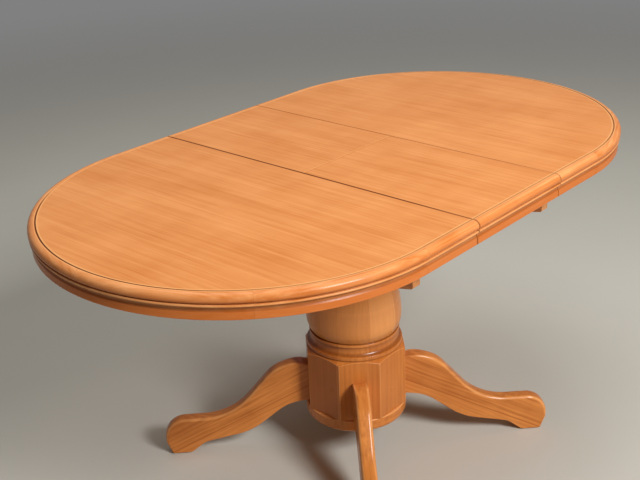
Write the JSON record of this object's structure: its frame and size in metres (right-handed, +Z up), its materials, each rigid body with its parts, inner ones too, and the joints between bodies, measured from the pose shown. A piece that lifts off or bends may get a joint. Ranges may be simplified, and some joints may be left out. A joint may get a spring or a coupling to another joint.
{
  "type": "extending pedestal table",
  "caption": "Round-ended pedestal dining table whose top halves slide apart for a folding centre leaf, on a turned eight-sided column with scrolled legs.",
  "frame": {"origin": "on the floor under the middle of the top", "axes": "+X along the table's length to its far end, +Z up"},
  "size_m": [1.525, 0.9, 0.76],
  "materials": {
    "top_veneer": "satin lacquer over light wood veneer",
    "lipping_wood": "satin lacquer over solid light wood",
    "pedestal_wood": "satin lacquer over solid light wood",
    "underframe_wood": "plain sanded wood",
    "zinc_steel": "bright zinc plate",
    "brass_hinge": "turned brass",
    "glide_plastic": "brown moulded plastic"
  },
  "bodies": {
    "pedestal": {"base_disc": "pedestal_wood", "base_disc_screws": "zinc_steel", "bearer_screws": "zinc_steel", "cross_bearer_far": "underframe_wood", "cross_bearer_near": "underframe_wood", "foot_glides": "glide_plastic", "guide_rail_left": "underframe_wood", "guide_rail_right": "underframe_wood", "head_plate": "underframe_wood", "head_plate_screws": "zinc_steel", "leg_far_left": "pedestal_wood", "leg_far_right": "pedestal_wood", "leg_near_left": "pedestal_wood", "leg_near_right": "pedestal_wood", "leg_nuts": "zinc_steel", "leg_studs": "zinc_steel", "leg_washers": "zinc_steel", "pedestal_column": "pedestal_wood", "rail_bolts": "zinc_steel", "stop_pins": "underframe_wood"},
    "near_half": {"near_lipping_bend_1": "lipping_wood", "near_lipping_bend_2": "lipping_wood", "near_lipping_bend_3": "lipping_wood", "near_lipping_bend_4": "lipping_wood", "near_lipping_left": "lipping_wood", "near_lipping_right": "lipping_wood", "near_runner_left": "underframe_wood", "near_runner_right": "underframe_wood", "near_runner_screws": "zinc_steel", "near_top_panel": "top_veneer"},
    "far_half": {"far_lipping_bend_1": "lipping_wood", "far_lipping_bend_2": "lipping_wood", "far_lipping_bend_3": "lipping_wood", "far_lipping_bend_4": "lipping_wood", "far_lipping_left": "lipping_wood", "far_lipping_right": "lipping_wood", "far_runner_left": "underframe_wood", "far_runner_right": "underframe_wood", "far_runner_screws": "zinc_steel", "far_top_panel": "top_veneer"},
    "leaf": {"leaf_fixed_cleat": "underframe_wood", "leaf_fixed_cleat_screws": "zinc_steel", "leaf_fixed_hinge_barrels": "brass_hinge", "leaf_fixed_hinge_links": "brass_hinge", "leaf_fixed_lipping": "lipping_wood", "leaf_fixed_panel": "top_veneer"},
    "leaf_flap": {"leaf_folding_cleat": "underframe_wood", "leaf_folding_cleat_screws": "zinc_steel", "leaf_folding_hinge_barrels": "brass_hinge", "leaf_folding_hinge_links": "brass_hinge", "leaf_folding_lipping": "lipping_wood", "leaf_folding_panel": "top_veneer"}
  },
  "joints": [
    {"name": "near_half_slide", "type": "slide", "parent": "pedestal", "child": "near_half", "axis": [-1, 0, 0], "range_m": [0, 0.045]},
    {"name": "far_half_slide", "type": "slide", "parent": "pedestal", "child": "far_half", "axis": [1, 0, 0], "range_m": [0, 0.045]},
    {"name": "leaf_lift", "type": "slide", "parent": "pedestal", "child": "leaf", "axis": [0, 0, 1], "range_m": [0, 0.1]},
    {"name": "leaf_fold", "type": "hinge", "parent": "leaf", "child": "leaf_flap", "pos_m": [0, 0, 0.7603], "axis": [-1, 0, 0], "range_deg": [0, 180]}
  ]
}
